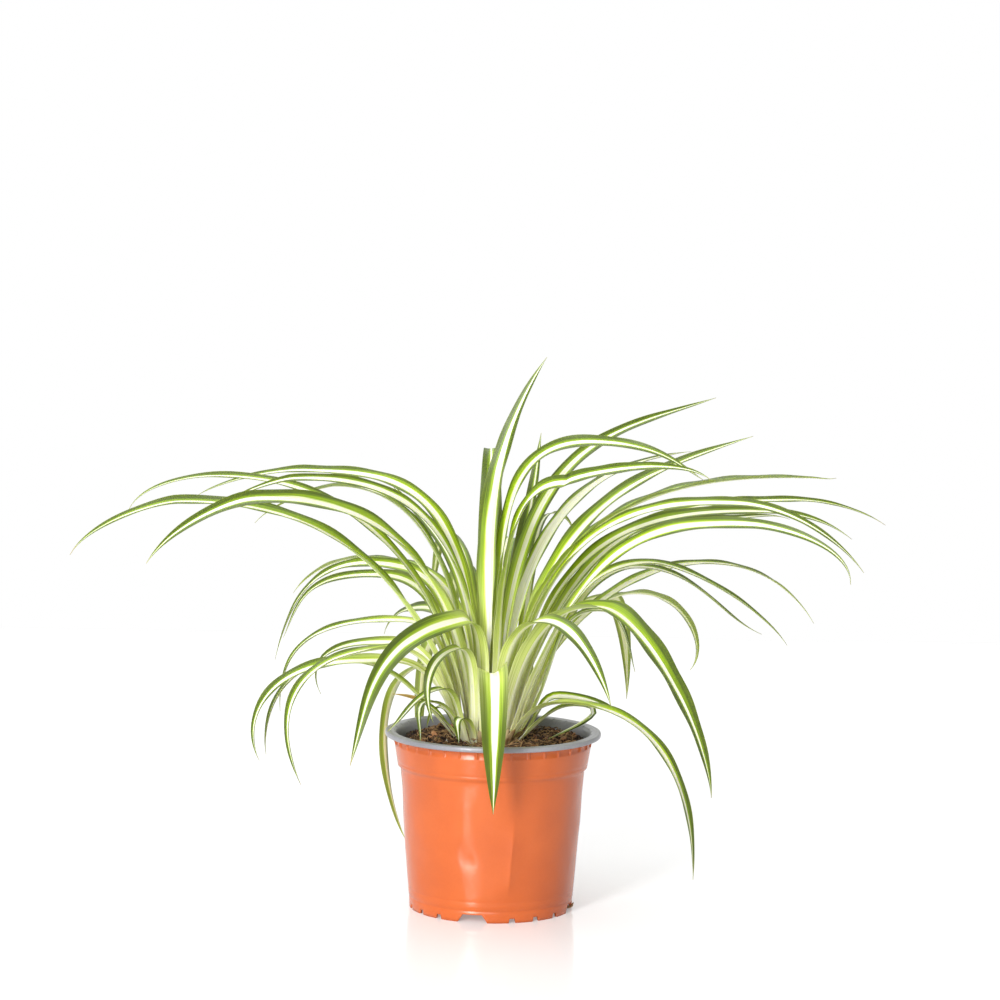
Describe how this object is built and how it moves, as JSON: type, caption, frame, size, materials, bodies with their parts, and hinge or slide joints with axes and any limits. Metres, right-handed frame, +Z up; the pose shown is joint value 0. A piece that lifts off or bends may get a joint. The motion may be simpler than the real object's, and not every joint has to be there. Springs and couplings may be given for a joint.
{
  "type": "potted spider plant",
  "caption": "Spider plant with long arching folded leaves rising from one crown, growing in soil in a thin round plastic nursery pot with a rolled lip and notched foot.",
  "frame": {"origin": "centre of the pot's foot ring, on the surface it stands on", "axes": "+Z up along the pot's axis, -Y towards the viewer of the picture, +X to the picture's right, along the plant's greatest spread"},
  "size_m": [0.4481, 0.2589, 0.3067],
  "materials": {
    "pot": "satin",
    "soil": "matte",
    "crown": "satin",
    "root": "matte",
    "leaf": "satin"
  },
  "bodies": {
    "root": {"pot": "pot", "soil": "soil", "crown": "crown", "root_end": "root", "leaf_top_1": "leaf", "leaf_right_high_1": "leaf", "leaf_right_high_3": "leaf", "leaf_left_high_4": "leaf", "leaf_top_3": "leaf", "leaf_left_high_5": "leaf", "leaf_left_high_6": "leaf", "leaf_right_high_5": "leaf", "leaf_left_mid_1": "leaf", "leaf_right_high_2": "leaf", "leaf_left_low_7": "leaf", "leaf_left_high_7": "leaf", "leaf_top_2": "leaf", "leaf_right_high_4": "leaf", "leaf_front_1": "leaf", "leaf_left_high_3": "leaf", "leaf_right_high_6": "leaf", "leaf_right_mid_7": "leaf", "leaf_left_high_2": "leaf", "leaf_left_mid_2": "leaf", "leaf_right_high_8": "leaf", "leaf_front_2": "leaf", "leaf_right_high_10": "leaf", "leaf_left_mid_3": "leaf", "leaf_right_high_7": "leaf", "leaf_right_high_11": "leaf", "leaf_right_high_9": "leaf", "leaf_top_4": "leaf", "leaf_left_high_1": "leaf", "leaf_right_mid_5": "leaf", "leaf_left_low_1": "leaf", "leaf_back_5": "leaf", "leaf_left_low_6": "leaf", "leaf_right_mid_3": "leaf", "leaf_left_low_8": "leaf", "leaf_right_mid_1": "leaf", "leaf_right_mid_2": "leaf", "leaf_back_1": "leaf", "leaf_back_2": "leaf", "leaf_left_low_2": "leaf", "leaf_left_low_3": "leaf", "leaf_left_low_9": "leaf", "leaf_right_mid_4": "leaf", "leaf_left_low_5": "leaf", "leaf_back_3": "leaf", "leaf_left_short_1": "leaf", "leaf_front_4": "leaf", "leaf_back_4": "leaf", "leaf_left_short_5": "leaf", "leaf_left_low_4": "leaf", "leaf_right_mid_6": "leaf", "leaf_left_short_3": "leaf", "leaf_left_short_4": "leaf", "leaf_front_5": "leaf", "leaf_front_3": "leaf"}
  },
  "joints": []
}
